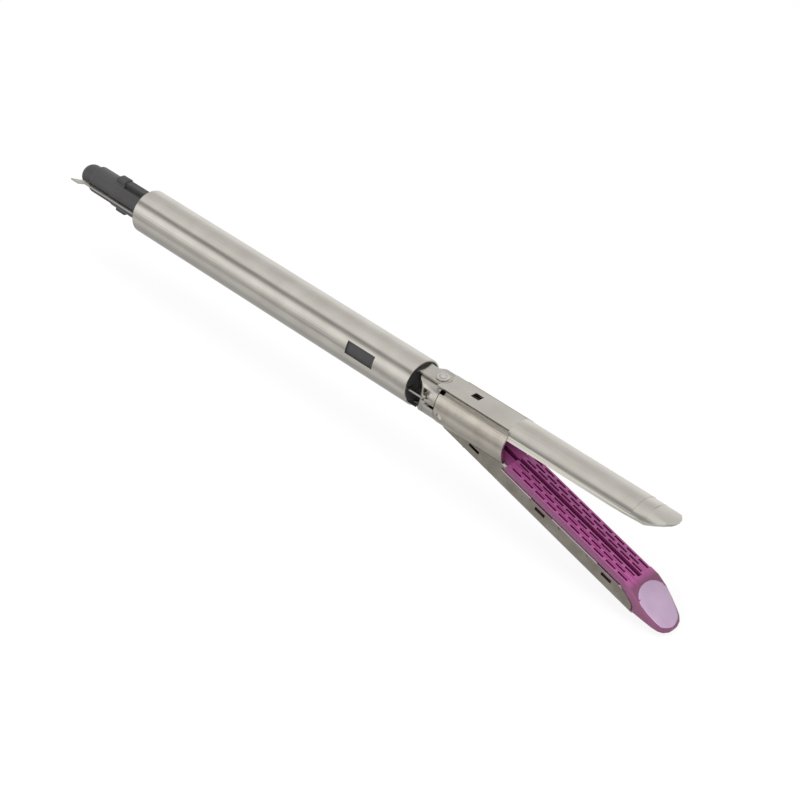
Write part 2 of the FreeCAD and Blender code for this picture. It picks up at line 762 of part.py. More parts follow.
def channel_tail():
    """Narrow rear of the channel, nested between the anvil's side walls."""
    start = jaw_x - ear_radius
    x = (start, channel_shoulder + channel_wall)
    half = tail_half_width
    outer = box(x, (-half, half), (-channel_radius, tail_top)).common(rod_x(channel_radius, x))
    inner_half = half - channel_wall
    inner_z = (-floor_low + floor_thick, channel_radius)
    tail = outer.cut(box((start - 1, x[1] + 1), (-inner_half, inner_half), inner_z))
    across = (-half - 1, half + 1)
    nose = box((start - 1, jaw_x), across, (-channel_radius - 1, channel_radius))
    keep = rod_y(ear_radius, across, jaw_x, jaw_z)
    throat = side_profile([(start - 1, jaw_z - ear_throat), (jaw_x, jaw_z - ear_radius),
                           (jaw_x + ear_slope_low, -channel_radius - 1),
                           (start - 1, -channel_radius - 1)], across)
    lift = side_profile([(start - 1, jaw_z + ear_throat), (jaw_x, jaw_z + ear_radius),
                         (jaw_x + ear_slope_high, tail_top),
                         (jaw_x + ear_slope_high, tail_top + 1), (start - 1, tail_top + 1)], across)
    return tail.cut([nose.cut(keep), throat.cut(keep), lift.cut(keep)])


def cam_floor():
    """Bent floor strip that the lower flange wedges up to close the jaw."""
    path = cam_points()
    upper = [(x, z + floor_thick) for x, z in reversed(path)]
    half = tail_half_width - channel_wall / 2
    return side_profile(path + upper, (-half, half))


def trough_form(x, inset, top):
    """Flat-sided trough with a round bottom, drawn solid."""
    half = channel_half_width - inset
    form = rod_x(channel_radius - inset, x)
    return form.common(box(x, (-half, half), (-channel_radius, top)))


def channel():
    """Channel of the cartridge jaw, drawn closed."""
    x = (channel_shoulder, channel_end)
    outer = trough_form(x, 0.0, channel_rim)
    inner = trough_form((x[0] - 1, x[1] + 1), skirt_wall, channel_radius)
    across = (-channel_radius, channel_radius)
    floor = rod_x(channel_radius - 0.1, x)
    floor = floor.common(box(x, across, (-channel_radius, -floor_low + floor_thick)))
    path = cam_points()
    groove_half = floor_groove_width / 2
    groove = side_profile(path + [(channel_end + 1, -floor_low), (channel_end + 1, -channel_radius - 1),
                                  (path[0][0], -channel_radius - 1)], (-groove_half, groove_half))
    inside = (channel_wall - tail_half_width, tail_half_width - channel_wall)
    shoulder_x = (channel_shoulder, channel_shoulder + channel_wall)
    shoulder = trough_form(shoulder_x, 0.0, channel_rim)
    shoulder = shoulder.cut(box(shoulder_x, inside, (floor_thick - floor_low, channel_radius)))
    shell = fused([outer.cut(inner).fuse(floor), shoulder, channel_tail(), cam_floor()])
    rear_open = box((jaw_x - 3, path[0][0]), inside, (-channel_radius, channel_radius))
    slot = box((jaw_x - 3, knife_slot_end + 1), (-knife_slot / 2, knife_slot / 2), (-channel_radius, 0))
    pin_hole = rod_y(jaw_pin_radius + pin_gap, across, jaw_x, jaw_z)
    return shell.cut([groove, rear_open, slot, channel_end_profile(0.0), pin_hole] + channel_side_cuts())


def channel_side_cuts():
    """Windows, shallow steps in the rim and coined dots in both side walls."""
    across = (-channel_radius, channel_radius)
    cuts = []
    z = (side_window_middle - side_window_height / 2, side_window_middle + side_window_height / 2)
    for place in side_window_places:
        start = channel_shoulder + place
        cuts.append(box((start, start + side_window_length), across, z))
        middle = start + side_window_length / 2
        cuts.append(box((middle - rim_notch_length / 2, middle + rim_notch_length / 2), across,
                        (channel_rim - rim_notch_depth, channel_rim + 1)))
    face = channel_half_width - side_dimple_depth
    for place in side_dimple_places:
        cuts += both_sides(rod_y(side_dimple_radius, (face, channel_radius), channel_shoulder + place, 0.0))
    start = jaw_x + tail_window_place
    z = (tail_window_middle - tail_window_height / 2, tail_window_middle + tail_window_height / 2)
    cuts.append(box((start, start + tail_window_length), across, z))
    return cuts


def cartridge_block():
    """Outer form of the cartridge: stepped deck, lugs and the sloping nose."""
    x = (channel_shoulder + channel_wall + face_gap, channel_end)
    low = -floor_low + floor_thick + face_gap
    body_x = (x[0], channel_end + channel_wall)
    body = trough_form(body_x, skirt_wall + cartridge_gap, deck_margin[-1][1])
    body = body.common(box(body_x, (-channel_radius, channel_radius), (low, channel_radius)))
    tail_half = tail_half_width - channel_wall - cartridge_gap
    tail = box((cartridge_start, x[0] + 1), (-tail_half, tail_half), (low, tail_top))
    margin = list(deck_margin) + [(deck_margin[-1][0], channel_rim + face_gap)]
    half = [(deck_margin[0][0], deck_height)] + margin[1:]
    outline = [(-y, z) for y, z in half] + [(y, z) for y, z in reversed(half)]
    deck = cross_profile(outline, (x[0], flat_start + nose_sections[0][0]))
    front_x = (channel_end - channel_end_slope, flat_start + nose_sections[0][0])
    front = cross_profile(nose_outline(nose_sections[0]), front_x).fuse(nose_form())
    return fused([body, tail, deck, front.common(channel_end_profile(face_gap))])


def nose_outline(section):
    """Half-round trough with a flat top and rounded shoulders, as YZ points."""
    ahead, half, flat, side, middle, bottom = section
    top = deck_height - nose_flat_slope * ahead
    right = []
    for turn in (0, 30, 60, 90):
        a = math.radians(turn)
        right.append((flat + (half - flat) * math.sin(a), side + (top - side) * math.cos(a)))
    for turn in range(0, 90, 15):
        a = math.radians(turn)
        right.append((half * math.cos(a), middle + (bottom - middle) * math.sin(a)))
    left = [(-y, z) for y, z in reversed(right)]
    return right + [(0.0, bottom)] + left


def nose_form():
    """Nose lofted from its sections, blunt and rounded, with the sloping flat."""
    wires = []
    for section in nose_sections:
        x = flat_start + section[0]
        corners = [FreeCAD.Vector(x, y, z) for y, z in nose_outline(section)]
        wires.append(Part.makePolygon(corners + corners[:1]))
    return Part.makeLoft(wires, True, True)


def channel_end_profile(gap):
    """Everything ahead of the channel's sloping front edge."""
    start = channel_end - channel_end_slope + gap
    outline = [(start, channel_radius), (start, channel_rim)]
    for along, down in channel_end_curve:
        outline.append((start + along * channel_end_slope, channel_rim - down * channel_end_drop))
    outline += [(start + channel_end_slope, -channel_radius - 1),
                (nose_end + 1, -channel_radius - 1), (nose_end + 1, channel_radius)]
    return side_profile(outline, (-channel_radius - 1, channel_radius + 1))


def deck_cuts():
    """Steps along both edges of the deck and the slope that starts the flat."""
    end = flat_start + nose_sections[0][0]
    drop = nose_flat_slope * nose_sections[0][0]
    slope = side_profile([(flat_start, deck_height), (end, deck_height - drop), (end, deck_height + 1),
                          (flat_start, deck_height + 1)], (-channel_radius, channel_radius))
    cuts = [slope]
    edges = deck_step_edges + (channel_radius,)
    for inner, outer, drop in zip(edges, edges[1:], deck_steps):
        step = box((channel_shoulder - 1, end), (inner, outer), (deck_height - drop, deck_height + 1))
        cuts += both_sides(step)
    return cuts


def groove_places():
    """Low and high side of the two wedge grooves between the rows."""
    half = slot_width / 2
    return [(inner + half, outer - half) for inner, outer in zip(row_offsets, row_offsets[1:])]


def cartridge():
    low = -channel_radius
    sled_room = box((cartridge_start - 1, cavity_end), (-sled_room_half_width, sled_room_half_width),
                    (low, -sled_room_top))
    tail_inner = row_offsets[0] - slot_width / 2
    tail_room = box((cartridge_start - 1, channel_shoulder + channel_wall),
                    (tail_inner, sled_room_half_width), (low, -groove_roof))
    last_bar = pusher_bar(first_slot + (slot_count - 1) * slot_pitch, pusher_gap)
    cuts = [sled_room] + both_sides(tail_room) + both_sides(last_bar) + deck_cuts()
    half_slot = knife_slot / 2 - face_gap
    cuts.append(box((cartridge_start - 1, knife_slot_end), (-half_slot, half_slot), (low, deck_height + 1)))
    for y in groove_places():
        cuts += both_sides(box((cartridge_start, cavity_end), y, (low, -groove_roof)))
    for x, y, row in staple_places():
        for side in (-1, 1):
            cuts.append(box((x - slot_length / 2, x + slot_length / 2),
                            (side * y - slot_width / 2, side * y + slot_width / 2), (low, deck_height + 1)))
    return cartridge_block().cut(cuts)


def pusher_bar(x, gap):
    """Low bar that joins the fins of one pusher, grown by a gap."""
    length = slot_length / 2 - pusher_gap
    return box((x + slot_pitch / 2 - length - gap, x + length + gap), (row_offsets[0], row_offsets[2]),
               (-pusher_low - gap, pusher_base - pusher_low + gap))


def pusher(x, last):
    """Three fins joined low down, one under the staple of each row; the last has two."""
    half = slot_width / 2 - pusher_gap
    length = slot_length / 2 - pusher_gap
    pieces = [pusher_bar(x, 0.0)]
    for row, offset in enumerate(row_offsets):
        if last and row == 1:
            continue
        middle = x + (slot_pitch / 2 if row == 1 else 0.0)
        span = (middle - length, middle + length)
        pieces.append(box(span, (offset - half, offset + half), (-pusher_low, -pusher_high)))
    return fused(pieces)


def staple_pushers():
    solids = []
    for number in range(slot_count):
        solids += both_sides(pusher(first_slot + number * slot_pitch, number == slot_count - 1))
    return Part.makeCompound(solids)


def staple(x, y):
    """U of wire: a crown and two upright legs."""
    base = face_gap - pusher_high
    half = staple_wire / 2
    span = (x - staple_crown / 2, x + staple_crown / 2)
    crown = box(span, (y - half, y + half), (base, base + staple_wire))
    legs = []
    for start in (span[0], span[1] - staple_wire):
        legs.append(box((start, start + staple_wire), (y - half, y + half), (base, base + staple_leg)))
    return fused([crown] + legs)


def staples():
    solids = []
    for x, y, row in staple_places():
        solids += [staple(x, y), staple(x, -y)]
    return Part.makeCompound(solids)


def sled():
    """Cam sled: a floor plate with four wedge bars that run in the grooves."""
    low = -floor_low + floor_thick + slide_gap
    top = low + sled_floor
    peak = sled_lift - pusher_low
    outline = [(sled_back, low), (sled_front, low), (sled_front, top + sled_toe),
               (sled_front - sled_ramp_share * sled_length, peak), (sled_back, peak)]
    half = sled_room_half_width - 2 * slide_gap
    bars = []
    for y in groove_places():
        outer = min(y[1] - pusher_gap, half)
        bars += both_sides(side_profile(outline, (y[0] + pusher_gap, outer)))
    return fused([box((sled_back, sled_front), (-half, half), (low, top))] + bars)


def drive_head():
    """I-beam: a web with an upper flange in the anvil and a lower one under the channel."""
    half = web_thick / 2
    web = box((head_back, head_front), (-half, half), (-lower_flange_top, upper_flange_low))
    x = (head_front - flange_length, head_front)
    upper = box(x, (-upper_flange_half_width, upper_flange_half_width),
                (upper_flange_low, upper_flange_low + flange_thick))
    lower = box(x, (-lower_flange_half_width, lower_flange_half_width),
                (-lower_flange_top - flange_thick, -lower_flange_top))
    return fused([web, upper, lower])


def knife_blade():
    half = knife_thick / 2
    tip = head_front + knife_reach
    outline = [(head_front, knife_low), (tip - knife_chamfer, knife_low), (tip, knife_low + knife_chamfer),
               (head_front + knife_chamfer, knife_high), (head_front, knife_high)]
    return side_profile(outline, (-half, half))


def jaw_springs():
    """Two leaf springs under the anvil plate that hold the jaw open."""
    t = jaw_spring_thick
    start = anvil_start + plate_start_gap + slide_gap
    top = tissue_face
    end = start + jaw_spring_length
    turn = math.radians(jaw_opening)
    reach = end - jaw_spring_foot - jaw_x
    rest = jaw_z - reach * math.tan(turn) + (tail_top - jaw_z) / math.cos(turn) + face_gap
    outline = [(start, top), (start, top - t), (start + jaw_spring_seat, top - t),
               (end - jaw_spring_foot, rest), (end, rest), (end, rest + t),
               (end - jaw_spring_foot + t / 2, rest + t), (start + jaw_spring_seat + t, top)]
    y = (tail_half_width - channel_wall, tail_half_width)
    return Part.makeCompound(both_sides(side_profile(outline, y)))


def main():
    os.makedirs("parts", exist_ok=True)
    pieces = {
        "shaft_tube": shaft_tube(),
        "housing_upper": housing_upper(),
        "housing_lower": housing_lower(),
        "coupling_plate_upper": coupling_plate(),
        "coupling_plate_lower": upside_down(coupling_plate()),
        "blowout_plates": blowout_plates(),
        "lockout_pin": lockout_pin(),
        "lockout_spring": lockout_spring(),
        "lockout_lever": lockout_lever(),
        "articulation_link": articulation_link(),
        "drive_beam": drive_beam(),
        "drive_strip": drive_strip(),
        "mount_upper": mount_upper(),
        "mount_lower": mount_lower(),
        "pivot_rivet_upper": pivot_rivet(),
        "pivot_rivet_lower": upside_down(pivot_rivet()),
        "link_pin": link_pin(),
        "mount_pin": mount_pin(),
        "anvil_body": anvil_body(),
        "anvil_cover": anvil_cover(),
        "jaw_pivot_pins": jaw_pivot_pins(),
        "jaw_springs": jaw_springs(),
        "drive_head": drive_head(),
        "knife_blade": knife_blade(),
        "channel": swung_open(channel()),
        "cartridge": swung_open(cartridge()),
        "staple_pushers": swung_open(staple_pushers()),
        "staples": swung_open(staples()),
        "sled": swung_open(sled()),
    }
    for name, shape in pieces.items():
        print(name, "solids", len(shape.Solids), "valid", shape.isValid(), "volume", round(shape.Volume, 2))
        shape.exportStep("parts/" + name + ".step")


main()
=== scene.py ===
import bpy
import bmesh
import json
import math
import numpy as np
from mathutils import Matrix, Vector


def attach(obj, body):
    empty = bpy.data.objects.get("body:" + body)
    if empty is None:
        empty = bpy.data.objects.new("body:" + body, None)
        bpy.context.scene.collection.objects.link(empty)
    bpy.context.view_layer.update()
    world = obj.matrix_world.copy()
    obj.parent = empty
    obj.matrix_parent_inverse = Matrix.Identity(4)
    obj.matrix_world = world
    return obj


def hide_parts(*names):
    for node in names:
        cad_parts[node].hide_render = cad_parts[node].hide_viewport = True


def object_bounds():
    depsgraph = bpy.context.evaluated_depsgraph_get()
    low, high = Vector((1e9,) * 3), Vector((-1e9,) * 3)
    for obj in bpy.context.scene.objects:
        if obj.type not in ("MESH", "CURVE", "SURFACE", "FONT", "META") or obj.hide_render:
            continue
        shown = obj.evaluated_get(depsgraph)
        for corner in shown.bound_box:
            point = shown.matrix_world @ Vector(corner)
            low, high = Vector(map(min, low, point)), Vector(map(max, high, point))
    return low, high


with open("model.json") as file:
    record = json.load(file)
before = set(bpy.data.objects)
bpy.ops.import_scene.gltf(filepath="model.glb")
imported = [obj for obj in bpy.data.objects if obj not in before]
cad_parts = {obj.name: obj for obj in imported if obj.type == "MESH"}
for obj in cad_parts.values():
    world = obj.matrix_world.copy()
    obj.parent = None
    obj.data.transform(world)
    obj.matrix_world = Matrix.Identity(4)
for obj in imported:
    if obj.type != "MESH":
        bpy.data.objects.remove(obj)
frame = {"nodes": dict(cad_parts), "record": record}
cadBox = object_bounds()
nodes = frame["nodes"]
mm = 0.001
print("frame loaded:", len(nodes), "nodes")


def addObject(name, data):
    piece = bpy.data.objects.new(name, data)
    bpy.context.scene.collection.objects.link(piece)
    return piece


# Camera: its place and its right and up directions, as fitted to the photograph
camera = {
    "place": (0.3537, -0.3070, 0.2537),
    "right": (0.708, 0.697, 0.115),
    "up": (-0.454, 0.324, 0.830),
    "lens": 90.2,
    "sensor": 36,
    "nearest": 0.01,
    "farthest": 20,
}


def makeCamera(setting):
    # the fitted directions are made square to each other, and back is away from the view
    back = Vector(setting["right"]).cross(Vector(setting["up"])).normalized()
    right = Vector(setting["up"]).cross(back).normalized()
    up = back.cross(right)
    turn = Matrix((right, up, back)).transposed().to_4x4()
    data = bpy.data.cameras.new("camera")
    data.lens = setting["lens"]
    data.sensor_width = setting["sensor"]
    data.sensor_fit = "HORIZONTAL"
    data.clip_start = setting["nearest"]
    data.clip_end = setting["farthest"]
    piece = addObject("camera", data)
    piece.matrix_world = Matrix.Translation(setting["place"]) @ turn
    bpy.context.scene.camera = piece


makeCamera(camera)
print("camera set")


def hexColour(text):
    # sRGB hex to linear light, with alpha 1
    parts = [int(text[i:i + 2], 16) / 255 for i in (1, 3, 5)]
    return [p / 12.92 if p <= 0.04045 else ((p + 0.055) / 1.055) ** 2.4 for p in parts] + [1]


def addNode(tree, kind, settings=None, **links):
    # settings go to the node's own properties, links to its sockets: i0 and i1 by place, the
    # others by name, with _ for a space
    node = tree.nodes.new(kind)
    for name, value in (settings or {}).items():
        setattr(node, name, value)
    for name, value in links.items():
        byPlace = name[0] == "i" and name[1:].isdigit()
        socket = node.inputs[int(name[1:]) if byPlace else name.replace("_", " ")]
        if isinstance(value, bpy.types.NodeSocket):
            tree.links.new(value, socket)
        else:
            socket.default_value = value
    return node


def newMaterial(name):
    material = bpy.data.materials.new(name)
    material.use_nodes = True
    material.node_tree.nodes.clear()
    return material, material.node_tree


# How a noise pattern is put to use. Most of its values lie between low and high; the grain makes a
# surface smoother or rougher by these amounts and lifts it by depthMm.
metalGrain = {"low": 0.3, "high": 0.7, "fine": 0.65, "smoother": 0.04, "rougher": 0.05,
              "depthMm": 0.02}
plasticGrain = {"smoother": 0.05, "rougher": 0.08, "depthMm": 0.03, "cloudMm": 6}


def metalMaterial(name, look):
    # grain lines lie along the rolling or drawing direction, clouds are faint handling wear
    material, tree = newMaterial(name)
    place = addNode(tree, "ShaderNodeTexCoord").outputs["Object"]
    stretch = [1 / (look["grainMm"] * mm)] * 3
    stretch[look["grainAxis"]] /= look["grainLength"]
    grainPlace = addNode(tree, "ShaderNodeMapping", Vector=place, Scale=stretch)
    grain = addNode(tree, "ShaderNodeTexNoise", Vector=grainPlace.outputs[0], Scale=1.0, Detail=3.0,
                    Roughness=metalGrain["fine"])
    cloud = addNode(tree, "ShaderNodeTexNoise", Vector=place, Scale=1 / (look["cloudMm"] * mm),
                    Detail=2.0)
    spread = {"From_Min": metalGrain["low"], "From_Max": metalGrain["high"]}
    cloudShare = addNode(tree, "ShaderNodeMapRange", Value=cloud.outputs[0], **spread)
    tint = addNode(tree, "ShaderNodeMix", {"data_type": "RGBA"}, i0=cloudShare.outputs[0],
                   i6=hexColour(look["dark"]), i7=hexColour(look["light"]))
    shade = addNode(tree, "ShaderNodeMapRange", Value=grain.outputs[0],
                    To_Min=1 - look["grainShade"], To_Max=1.0, **spread)
    colour = addNode(tree, "ShaderNodeMix", {"data_type": "RGBA", "blend_type": "MULTIPLY"},
                     i0=1.0, i6=tint.outputs[2], i7=shade.outputs[0])
    other = look.get("other")
    if other:
        # a region past a plane has its own tone, such as a rim painted pale as a painted highlight
        along = addNode(tree, "ShaderNodeVectorMath", {"operation": "DOT_PRODUCT"}, i0=place,
                        i1=other["direction"])
        past = addNode(tree, "ShaderNodeMapRange", Value=along.outputs["Value"],
                       From_Min=other["start"], From_Max=other["start"] + other["blend"])
        colour = addNode(tree, "ShaderNodeMix", {"data_type": "RGBA"}, i0=past.outputs[0],
                         i6=colour.outputs[2], i7=hexColour(other["colour"]))
    rough = addNode(tree, "ShaderNodeMapRange", Value=grain.outputs[0],
                    To_Min=look["rough"] - metalGrain["smoother"],
                    To_Max=look["rough"] + metalGrain["rougher"], **spread)
    bump = addNode(tree, "ShaderNodeBump", Strength=look["bump"],
                   Distance=metalGrain["depthMm"] * mm, Height=grain.outputs[0])
    shader = addNode(tree, "ShaderNodeBsdfPrincipled", Base_Color=colour.outputs[2], Metallic=1.0,
                     Roughness=rough.outputs[0], Normal=bump.outputs[0])
    addNode(tree, "ShaderNodeOutputMaterial", i0=shader.outputs[0])
    return material


def plasticMaterial(name, look):
    # a fine spark-eroded grain from the mould and slight colour clouds
    material, tree = newMaterial(name)
    coordinates = addNode(tree, "ShaderNodeTexCoord")
    place, normal = coordinates.outputs["Object"], coordinates.outputs["Normal"]
    grain = addNode(tree, "ShaderNodeTexNoise", Vector=place, Scale=1 / (look["grainMm"] * mm),
                    Detail=3.0)
    cloud = addNode(tree, "ShaderNodeTexNoise", Vector=place,
                    Scale=1 / (plasticGrain["cloudMm"] * mm), Detail=2.0)
    colour = addNode(tree, "ShaderNodeMix", {"data_type": "RGBA"}, i0=cloud.outputs[0],
                     i6=hexColour(look["dark"]), i7=hexColour(look["light"]))
    regions = []
    sidewaysShade = look.get("sidewaysShade")
    if sidewaysShade:
        # painted shade: faces that look sideways are painted greyer and darker than the deck
        split = addNode(tree, "ShaderNodeSeparateXYZ", Vector=normal)
        sideways = addNode(tree, "ShaderNodeMath", {"operation": "ABSOLUTE"}, i0=split.outputs[1])
        share = addNode(tree, "ShaderNodeMapRange", Value=sideways.outputs[0],
                        From_Min=sidewaysShade["from"], From_Max=sidewaysShade["to"])
        regions.append(([share], sidewaysShade["colour"]))
    deck = look.get("deck")
    if deck:
        # painted shade: the walls inside the deck's slots and steps are painted dark, and so are
        # the body's sides down in the channel. The nose is darker. A mask is 0 at start and 1 at
        # full.
        split = addNode(tree, "ShaderNodeSeparateXYZ", Vector=place)
        fromMiddle = addNode(tree, "ShaderNodeMath", {"operation": "ABSOLUTE"}, i0=split.outputs[1])
        along, height, facing = [
            addNode(tree, "ShaderNodeVectorMath", {"operation": "DOT_PRODUCT"}, i0=reading,
                    i1=direction).outputs["Value"]
            for reading, direction in ((place, jawForward), (place, jawUp), (normal, jawUp))]
        flank = deck["halfWidth"] + deck["flankBlend"]
        inner, outer, wall, deep, before, nose = [
            addNode(tree, "ShaderNodeMapRange", Value=reading, From_Min=start, From_Max=full)
            for reading, start, full in (
                (fromMiddle.outputs[0], flank, deck["halfWidth"]),
                (fromMiddle.outputs[0], deck["halfWidth"], flank),
                (facing, deck["flat"], deck["upright"]),
                (height, deck["rim"], deck["rim"] - deck["rimBlend"]),
                (along, deck["end"], deck["end"] - deck["endBlend"]),
                (along, deck["end"], deck["end"] + deck["noseBlend"]))]
        regions += [([nose], deck["noseColour"]), ([inner, wall, before], deck["slotShadeColour"]),
                    ([outer, deep, before], deck["channelShadeColour"])]
    for masks, tone in regions:
        share = masks[0]
        for mask in masks[1:]:
            share = addNode(tree, "ShaderNodeMath", {"operation": "MULTIPLY"}, i0=share.outputs[0],
                            i1=mask.outputs[0])
        colour = addNode(tree, "ShaderNodeMix", {"data_type": "RGBA"}, i0=share.outputs[0],
                         i6=colour.outputs[2], i7=hexColour(tone))
    rough = addNode(tree, "ShaderNodeMapRange", Value=grain.outputs[0],
                    To_Min=look["rough"] - plasticGrain["smoother"],
                    To_Max=look["rough"] + plasticGrain["rougher"])
    bump = addNode(tree, "ShaderNodeBump", Strength=look["bump"],
                   Distance=plasticGrain["depthMm"] * mm, Height=grain.outputs[0])
    shader = addNode(tree, "ShaderNodeBsdfPrincipled", Base_Color=colour.outputs[2], IOR=1.5,
                     Roughness=rough.outputs[0], Normal=bump.outputs[0])
    addNode(tree, "ShaderNodeOutputMaterial", i0=shader.outputs[0])
    return material


# Directions of the open jaw, along it and up from its deck, and its pivot in mm
jawTilt = math.radians(14.7)
jawForward = (math.cos(jawTilt), 0.0, -math.sin(jawTilt))
jawUp = (math.sin(jawTilt), 0.0, math.cos(jawTilt))
jawPivot = (111.2, 0.0, -1.3)

# Finishes by material slot. grainMm is the width of a grain line or speck, really a few hundredths
# of a millimetre and drawn coarser here so that it shows; it is grainLength times as long as wide.
finishes = {
    # drawn stainless tube: satin, with lines along the shaft that draw reflections out into bands
    "tube_steel": metalMaterial("drawnStainlessSteel", {
        "dark": "#d2cdc4", "light": "#dcd8d0", "rough": 0.19, "grainMm": 0.14, "grainLength": 60,
        "grainAxis": 0, "grainShade": 0.1, "bump": 0.10, "cloudMm": 7}),
    # pressed sheet: a little rougher than the tube, with short rolling marks
    "stamped_steel": metalMaterial("stampedStainlessSteel", {
        "dark": "#c6c1b9", "light": "#d6d2cb", "rough": 0.2, "grainMm": 0.16, "grainLength": 25,
        "grainAxis": 0, "grainShade": 0.12, "bump": 0.15, "cloudMm": 5}),
    # metal-injection moulded: even, dull, without grain direction
    "cast_steel": metalMaterial("mouldedStainlessSteel", {
        "dark": "#c3beb6", "light": "#d8d4cd", "rough": 0.17, "grainMm": 0.2, "grainLength": 1,
        "grainAxis": 0, "grainShade": 0.12, "bump": 0.2, "cloudMm": 3}),
    # turned and polished: the brightest steel, with small sharp lights
    "pin_steel": metalMaterial("turnedStainlessSteel", {
        "dark": "#d2cec8", "light": "#e2dfda", "rough": 0.12, "grainMm": 0.1, "grainLength": 1,
        "grainAxis": 2, "grainShade": 0.08, "bump": 0.1, "cloudMm": 2}),
    # hardened strip: greyer and duller, with rolling lines along it
    "spring_steel": metalMaterial("springSteel", {
        "dark": "#a9a7a3", "light": "#bebcb8", "rough": 0.28, "grainMm": 0.12, "grainLength": 30,
        "grainAxis": 0, "grainShade": 0.1, "bump": 0.1, "cloudMm": 5}),
    # ground: cold and bright, with fine lines up the blade
    "blade_steel": metalMaterial("groundBladeSteel", {
        "dark": "#c6c6c6", "light": "#dcdcdc", "rough": 0.16, "grainMm": 0.08, "grainLength": 30,
        "grainAxis": 2, "grainShade": 0.1, "bump": 0.1, "cloudMm": 3}),
    # drawn titanium wire: darker than steel and dull
    "staple_titanium": metalMaterial("titaniumWire", {
        "dark": "#9d9a95", "light": "#b3b0aa", "rough": 0.35, "grainMm": 0.1, "grainLength": 10,
        "grainAxis": 2, "grainShade": 0.1, "bump": 0.1, "cloudMm": 2}),
    # moulded polycarbonate: near black, with the soft sheen of a fine grain
    "dark_plastic": plasticMaterial("mouldedDarkPolycarbonate", {
        "dark": "#2d2d2e", "light": "#3b3b3c", "rough": 0.42, "grainMm": 0.25, "bump": 0.15}),
    # moulded polymer: a satin purple deck, with painted shade that makes it greyer down its sides,
    # dark inside its slots and dark down in the channel
    "purple_plastic": plasticMaterial("mouldedPurplePolymer", {
        "dark": "#9c4782", "light": "#b05693", "rough": 0.38, "grainMm": 0.22, "bump": 0.12,
        "sidewaysShade": {"from": 0.3, "to": 0.62, "colour": "#6d3f5d"},
        "deck": {"halfWidth": 4.2 * mm, "flankBlend": 0.05 * mm, "flat": 0.75, "upright": 0.4,
                 "rim": 28.5 * mm, "rimBlend": 0.3 * mm, "end": 167.6 * mm, "endBlend": 0.2 * mm,
                 "noseBlend": 1.6 * mm, "noseColour": "#74405f", "slotShadeColour": "#6e2253",
                 "channelShadeColour": "#35242f"}}),
    # the same kind of polymer, deeper in colour: only its tops show, down in the slots
    "pusher_plastic": plasticMaterial("mouldedDeepPurplePolymer", {
        "dark": "#601c4a", "light": "#702858", "rough": 0.42, "grainMm": 0.2, "bump": 0.1}),
}
# Two nodes with the tube's slot have a finish of their own
nodeFinishes = {
    # bead-blasted sheet: duller and darker than the tube beside it, with its rim painted pale as a
    # painted highlight
    "channel": metalMaterial("blastedStainlessSteel", {
        "dark": "#9a9388", "light": "#b0a99e", "rough": 0.34, "grainMm": 0.35, "grainLength": 2,
        "grainAxis": 0, "grainShade": 0.16, "bump": 0.3, "cloudMm": 4,
        "other": {"direction": jawUp, "start": 28.5 * mm, "blend": 0.08 * mm,
                  "colour": "#efe2e4"}}),
    # tumbled after pressing: side walls with a soft, slightly warm gloss, and a paler front part
    "anvil_body": metalMaterial("tumbledStainlessSteel", {
        "dark": "#c8c0b4", "light": "#d6cfc4", "rough": 0.21, "grainMm": 0.2, "grainLength": 8,
        "grainAxis": 0, "grainShade": 0.12, "bump": 0.2, "cloudMm": 4,
        "other": {"direction": (1, 0, 0), "start": 131 * mm, "blend": 1 * mm,
                  "colour": "#d6d2ca"}}),
}
print("materials made")


slotOf = {entry["node"]: entry["material_slot"] for entry in frame["record"]["subparts"]}
bodies = frame["record"]["behaviour"]["bodies"]
bodyOf = {name: body for body, members in bodies.items() for name in members}

# How a CAD node is cleaned: points closer than merge become one, faces within flatDegrees of each
# other are joined, and only edges sharper than smoothDegrees stay edges
cleaning = {"merge": 1e-6, "flatDegrees": 0.5, "smoothDegrees": 35, "roundSegments": 2}


def cleanCopy(node, roundMm):
    # a merged copy of a CAD node: its round faces are smooth and its edges softened
    mesh = bpy.data.meshes.new(node + "Finished")
    work = bmesh.new()
    work.from_mesh(nodes[node].data)
    bmesh.ops.remove_doubles(work, verts=work.verts, dist=cleaning["merge"])
    bmesh.ops.dissolve_limit(work, angle_limit=math.radians(cleaning["flatDegrees"]),
                             verts=work.verts, edges=work.edges)
    work.to_mesh(mesh)
    work.free()
    mesh.materials.append(nodeFinishes.get(node) or finishes[slotOf[node]])
    mesh.shade_smooth()
    mesh.set_sharp_from_angle(angle=math.radians(cleaning["smoothDegrees"]))
    piece = addObject(node + "Finished", mesh)
    bevel = piece.modifiers.new("softEdges", "BEVEL")
    bevel.width = roundMm * mm
    bevel.segments = cleaning["roundSegments"]
    bevel.limit_method = "ANGLE"
    bevel.angle_limit = math.radians(cleaning["smoothDegrees"])
    bevel.harden_normals = True
    bevel.use_clamp_overlap = True
    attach(piece, bodyOf[node])
    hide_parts(node)


# How far the edges of each visible piece are rounded, in mm
edgeRounds = {
    "shaft_tube": 0.04, "housing_upper": 0.12, "housing_lower": 0.12, "coupling_plate_upper": 0.06,
    "coupling_plate_lower": 0.06, "mount_upper": 0.08, "mount_lower": 0.08, "anvil_body": 0.1,
    "anvil_cover": 0.06, "channel": 0.12, "cartridge": 0.06, "articulation_link": 0.08,
    "jaw_pivot_pins": 0.06, "drive_head": 0.05,
}
for node, roundMm in edgeRounds.items():
    cleanCopy(node, roundMm)
print("edges softened")
